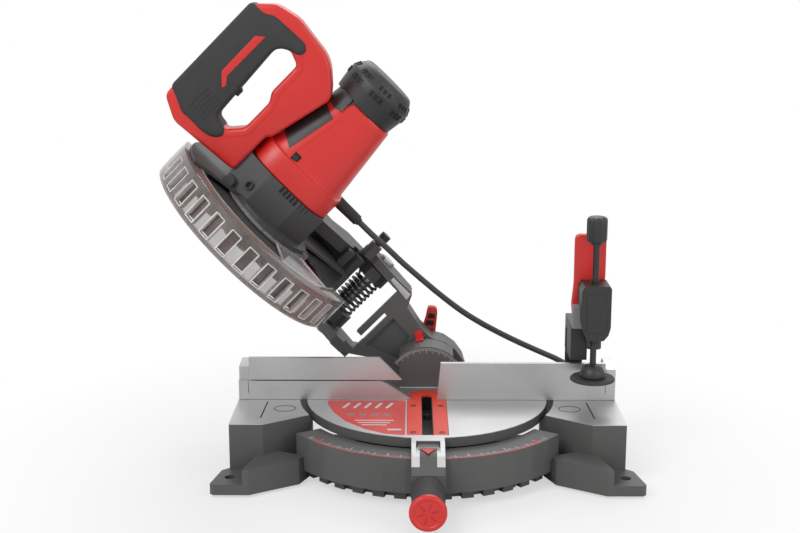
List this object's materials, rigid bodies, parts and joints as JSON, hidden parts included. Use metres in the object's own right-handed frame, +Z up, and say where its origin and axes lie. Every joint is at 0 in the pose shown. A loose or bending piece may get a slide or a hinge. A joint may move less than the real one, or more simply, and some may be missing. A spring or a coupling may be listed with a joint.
{
  "type": "compound mitre saw",
  "caption": "Sliding-fence compound mitre saw with a turntable, tilting arm, spring-raised saw head, swinging clear guard, quick clamp and mains cord.",
  "frame": {"origin": "on the floor, under the middle of the saw's bounding box without its cord", "axes": "+X to the right of a person in front, along the fence; +Y away from that person; +Z up"},
  "size_m": [0.5089, 0.5122, 0.4842],
  "materials": {
    "grey_paint": "satin",
    "machined_alloy": "machined",
    "steel": "brushed",
    "black_plastic": "matte",
    "soft_grip": "matte",
    "red_plastic": "gloss",
    "grey_plastic": "matte",
    "smoked_clear": "clear",
    "coated_blade": "satin",
    "copper": "satin",
    "rubber": "matte"
  },
  "bodies": {
    "base": {"base_casting": "grey_paint", "foot_pad_front_left": "rubber", "foot_pad_front_right": "rubber", "foot_pad_rear_left": "rubber", "foot_pad_rear_right": "rubber", "fence_left": "machined_alloy", "fence_right": "machined_alloy", "clamp_post": "steel", "clamp_body": "black_plastic", "cord_stretch": "rubber", "cord_coil": "rubber", "plug": "black_plastic"},
    "fence_slide": {"sliding_fence": "machined_alloy"},
    "table": {"turntable": "machined_alloy", "kerf_plate": "red_plastic", "pivot_bolt": "steel", "scale_window": "smoked_clear", "mitre_pointer": "red_plastic", "front_grip": "black_plastic", "bevel_bolt": "steel"},
    "knob": {"lock_knob": "red_plastic"},
    "detent": {"detent_lever": "black_plastic"},
    "bevel_clamp": {"bevel_lever": "red_plastic"},
    "arm": {"bevel_arm": "grey_paint", "bevel_pointer": "red_plastic", "hinge_pin": "steel", "torsion_spring": "steel", "lock_pin_spring": "steel"},
    "lock_pin": {"transport_lock_pin": "black_plastic"},
    "head": {"gear_case": "grey_paint", "motor_housing": "red_plastic", "motor_cap": "black_plastic", "stator": "steel", "armature_front_bearing": "steel", "armature_rear_bearing": "steel", "brush_top": "black_plastic", "brush_bottom": "black_plastic", "handle_shell": "red_plastic", "grip_cover": "soft_grip", "strain_relief": "black_plastic", "spindle_bearing": "steel"},
    "trigger": {"trigger": "black_plastic"},
    "guard": {"lower_guard": "smoked_clear"},
    "blade": {"saw_blade": "coated_blade", "outer_flange": "steel", "inner_flange": "steel", "blade_bolt": "steel", "spindle": "steel", "spindle_gear": "steel"},
    "armature": {"armature": "copper", "motor_fan": "grey_plastic"},
    "hold_down": {"clamp_rod": "steel", "clamp_knob": "black_plastic"},
    "pad": {"clamp_swivel": "black_plastic", "clamp_pad": "grey_plastic"},
    "squeeze": {"clamp_lever": "red_plastic"},
    "release": {"clamp_release": "grey_plastic"}
  },
  "joints": [
    {"name": "mitre_turn", "type": "hinge", "parent": "base", "child": "table", "pos_m": [0.0354, 0.0472, 0.0628], "axis": [0, 0, -1], "range_deg": [-32, 45]},
    {"name": "bevel_tilt", "type": "hinge", "parent": "table", "child": "arm", "pos_m": [0.0354, 0.1522, 0.0628], "axis": [0, 1, 0], "range_deg": [0, 45]},
    {"name": "chop", "type": "hinge", "parent": "arm", "child": "head", "pos_m": [-0.05157, 0.1522, 0.14977], "axis": [0.7071, 0, 0.7071], "range_deg": [0, 60], "stiffness_Nm_per_rad": 8, "springref_deg": -63.03, "deforming": ["torsion_spring", "cord_stretch"]},
    {"name": "guard_swing", "type": "hinge", "parent": "head", "child": "guard", "pos_m": [-0.14633, 0.0522, 0.24453], "axis": [0.7071, 0, 0.7071], "range_deg": [-130, 0]},
    {"name": "blade_spin", "type": "hinge", "parent": "head", "child": "blade", "pos_m": [-0.14633, 0.0522, 0.24453], "axis": [0.7071, 0, 0.7071], "continuous": true},
    {"name": "armature_spin", "type": "hinge", "parent": "head", "child": "armature", "pos_m": [-0.15481, 0.0772, 0.25301], "axis": [0.7071, 0, 0.7071], "continuous": true},
    {"name": "trigger_squeeze", "type": "slide", "parent": "head", "child": "trigger", "axis": [-0.7071, 0, 0.7071], "range_m": [0, 0.003], "stiffness_N_per_m": 800},
    {"name": "fence_slide", "type": "slide", "parent": "base", "child": "fence_slide", "axis": [-1, 0, 0], "range_m": [0, 0.05]},
    {"name": "knob_turn", "type": "hinge", "parent": "table", "child": "knob", "pos_m": [0.0344, -0.1528, 0.0255], "axis": [0, 1, 0], "range_deg": [0, 270]},
    {"name": "detent_lift", "type": "hinge", "parent": "table", "child": "detent", "pos_m": [0.0354, -0.1238, 0.0044], "axis": [-1, 0, 0], "range_deg": [0, 3], "stiffness_Nm_per_rad": 1},
    {"name": "bevel_lever_turn", "type": "hinge", "parent": "table", "child": "bevel_clamp", "pos_m": [0.0354, 0.1617, 0.0628], "axis": [0, 1, 0], "range_deg": [0, 50]},
    {"name": "lock_pin_pull", "type": "slide", "parent": "arm", "child": "lock_pin", "axis": [0.7071, 0, 0.7071], "range_m": [0, 0.008], "stiffness_N_per_m": 400, "deforming": ["lock_pin_spring"]},
    {"name": "clamp_height", "type": "slide", "parent": "base", "child": "hold_down", "axis": [0, 0, -1], "range_m": [-0.013, 0.031]},
    {"name": "pad_swivel", "type": "hinge", "parent": "hold_down", "child": "pad", "pos_m": [0.2099, 0.0092, 0.105], "axis": [0, 0, 1], "range_deg": [-180, 180]},
    {"name": "clamp_squeeze", "type": "hinge", "parent": "base", "child": "squeeze", "pos_m": [0.1969, 0.0342, 0.1625], "axis": [0, 1, 0], "range_deg": [0, 12], "stiffness_Nm_per_rad": 0.6},
    {"name": "clamp_release_push", "type": "slide", "parent": "base", "child": "release", "axis": [1, 0, 0], "range_m": [0, 0.002], "stiffness_N_per_m": 600}
  ],
  "couplings": [
    {"joint": "guard_swing", "follows": "chop", "ratio": -2.1667},
    {"joint": "armature_spin", "follows": "blade_spin", "ratio": -4.75}
  ]
}
